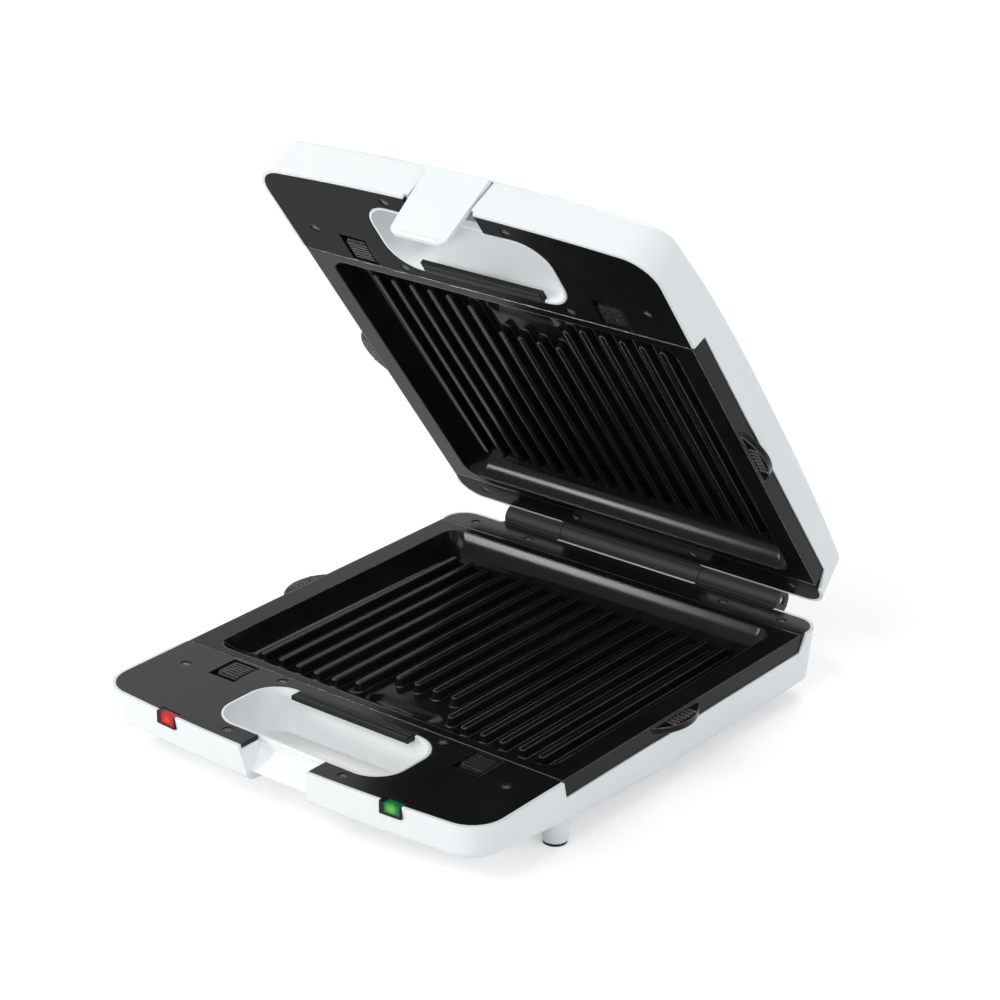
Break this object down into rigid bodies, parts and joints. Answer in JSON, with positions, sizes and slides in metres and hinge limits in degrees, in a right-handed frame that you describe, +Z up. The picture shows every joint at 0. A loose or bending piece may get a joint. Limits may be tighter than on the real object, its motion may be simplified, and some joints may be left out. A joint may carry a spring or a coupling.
{
  "type": "sandwich toaster",
  "caption": "Countertop cooker with a white moulded housing, a lid hinged at the rear, removable ribbed non-stick plates, carrying holes and a front latch.",
  "frame": {"origin": "on the table under the middle of the open toaster's bounding box", "axes": "+X to the right seen from the front, +Y to the rear hinge, +Z up; the lid stands open as in the picture"},
  "size_m": [0.2684, 0.3315, 0.308],
  "materials": {
    "housing_white": "satin gloss",
    "deck_black": "satin",
    "grip_black": "matte",
    "plate_nonstick": "glossy non-stick coating",
    "screw_black": "blackened",
    "steel": "plated",
    "heater_steel": "oxidised",
    "tray_aluminium": "bright rolled",
    "ceramic_white": "matte",
    "lens_red": "clear",
    "lens_green": "clear",
    "lamp_glass": "clear"
  },
  "bodies": {
    "base": {"base_shell": "housing_white", "base_frame": "deck_black", "base_grip_strip": "grip_black", "left_hinge_block": "deck_black", "right_hinge_block": "deck_black", "hinge_rod": "steel", "base_frame_screws": "screw_black", "base_bottom_screws": "screw_black", "foot_pads": "grip_black", "red_lens": "lens_red", "green_lens": "lens_green", "indicator_lamps": "lamp_glass", "lower_reflector": "tray_aluminium", "lower_heater": "heater_steel", "lower_heater_clips": "ceramic_white", "thermostat": "ceramic_white", "terminal_block": "ceramic_white", "cord_gland": "deck_black", "lower_left_spring": "steel", "lower_right_spring": "steel"},
    "lower_plate": {"lower_plate": "plate_nonstick"},
    "lower_left_button": {"lower_left_button": "deck_black"},
    "lower_right_button": {"lower_right_button": "deck_black"},
    "lid": {"lid_shell": "housing_white", "lid_frame": "deck_black", "lid_grip_strip": "grip_black", "lid_hinge_block": "deck_black", "lid_frame_screws": "screw_black", "upper_reflector": "tray_aluminium", "upper_heater": "heater_steel", "upper_heater_clips": "ceramic_white", "thermal_fuse": "ceramic_white", "upper_left_spring": "steel", "upper_right_spring": "steel", "latch_pin": "steel", "latch_spring": "steel"},
    "upper_plate": {"upper_plate": "plate_nonstick"},
    "upper_left_button": {"upper_left_button": "deck_black"},
    "upper_right_button": {"upper_right_button": "deck_black"},
    "latch": {"latch": "housing_white"}
  },
  "joints": [
    {"name": "lid_hinge", "type": "hinge", "parent": "base", "child": "lid", "pos_m": [0, 0.1505, 0.0415], "axis": [-1, 0, 0], "range_deg": [-53, 52]},
    {"name": "latch_hinge", "type": "hinge", "parent": "lid", "child": "latch", "pos_m": [0, -0.02307, 0.29925], "axis": [-1, 0, 0], "range_deg": [0, 8], "stiffness_Nm_per_rad": 0.08},
    {"name": "lower_left_button_slide", "type": "slide", "parent": "base", "child": "lower_left_button", "axis": [0, -1, 0], "range_m": [0, 0.004], "stiffness_N_per_m": 300, "deforming": ["lower_left_spring"]},
    {"name": "lower_right_button_slide", "type": "slide", "parent": "base", "child": "lower_right_button", "axis": [0, -1, 0], "range_m": [0, 0.004], "stiffness_N_per_m": 300, "deforming": ["lower_right_spring"]},
    {"name": "upper_left_button_slide", "type": "slide", "parent": "lid", "child": "upper_left_button", "axis": [0, -0.6018, 0.7986], "range_m": [0, 0.004], "stiffness_N_per_m": 300, "deforming": ["upper_left_spring"]},
    {"name": "upper_right_button_slide", "type": "slide", "parent": "lid", "child": "upper_right_button", "axis": [0, -0.6018, 0.7986], "range_m": [0, 0.004], "stiffness_N_per_m": 300, "deforming": ["upper_right_spring"]},
    {"name": "lower_plate_lift", "type": "slide", "parent": "base", "child": "lower_plate", "axis": [0, 0, 1], "range_m": [0, 0.022]},
    {"name": "upper_plate_lift", "type": "slide", "parent": "lid", "child": "upper_plate", "axis": [0, -0.7986, -0.6018], "range_m": [0, 0.022]}
  ]
}
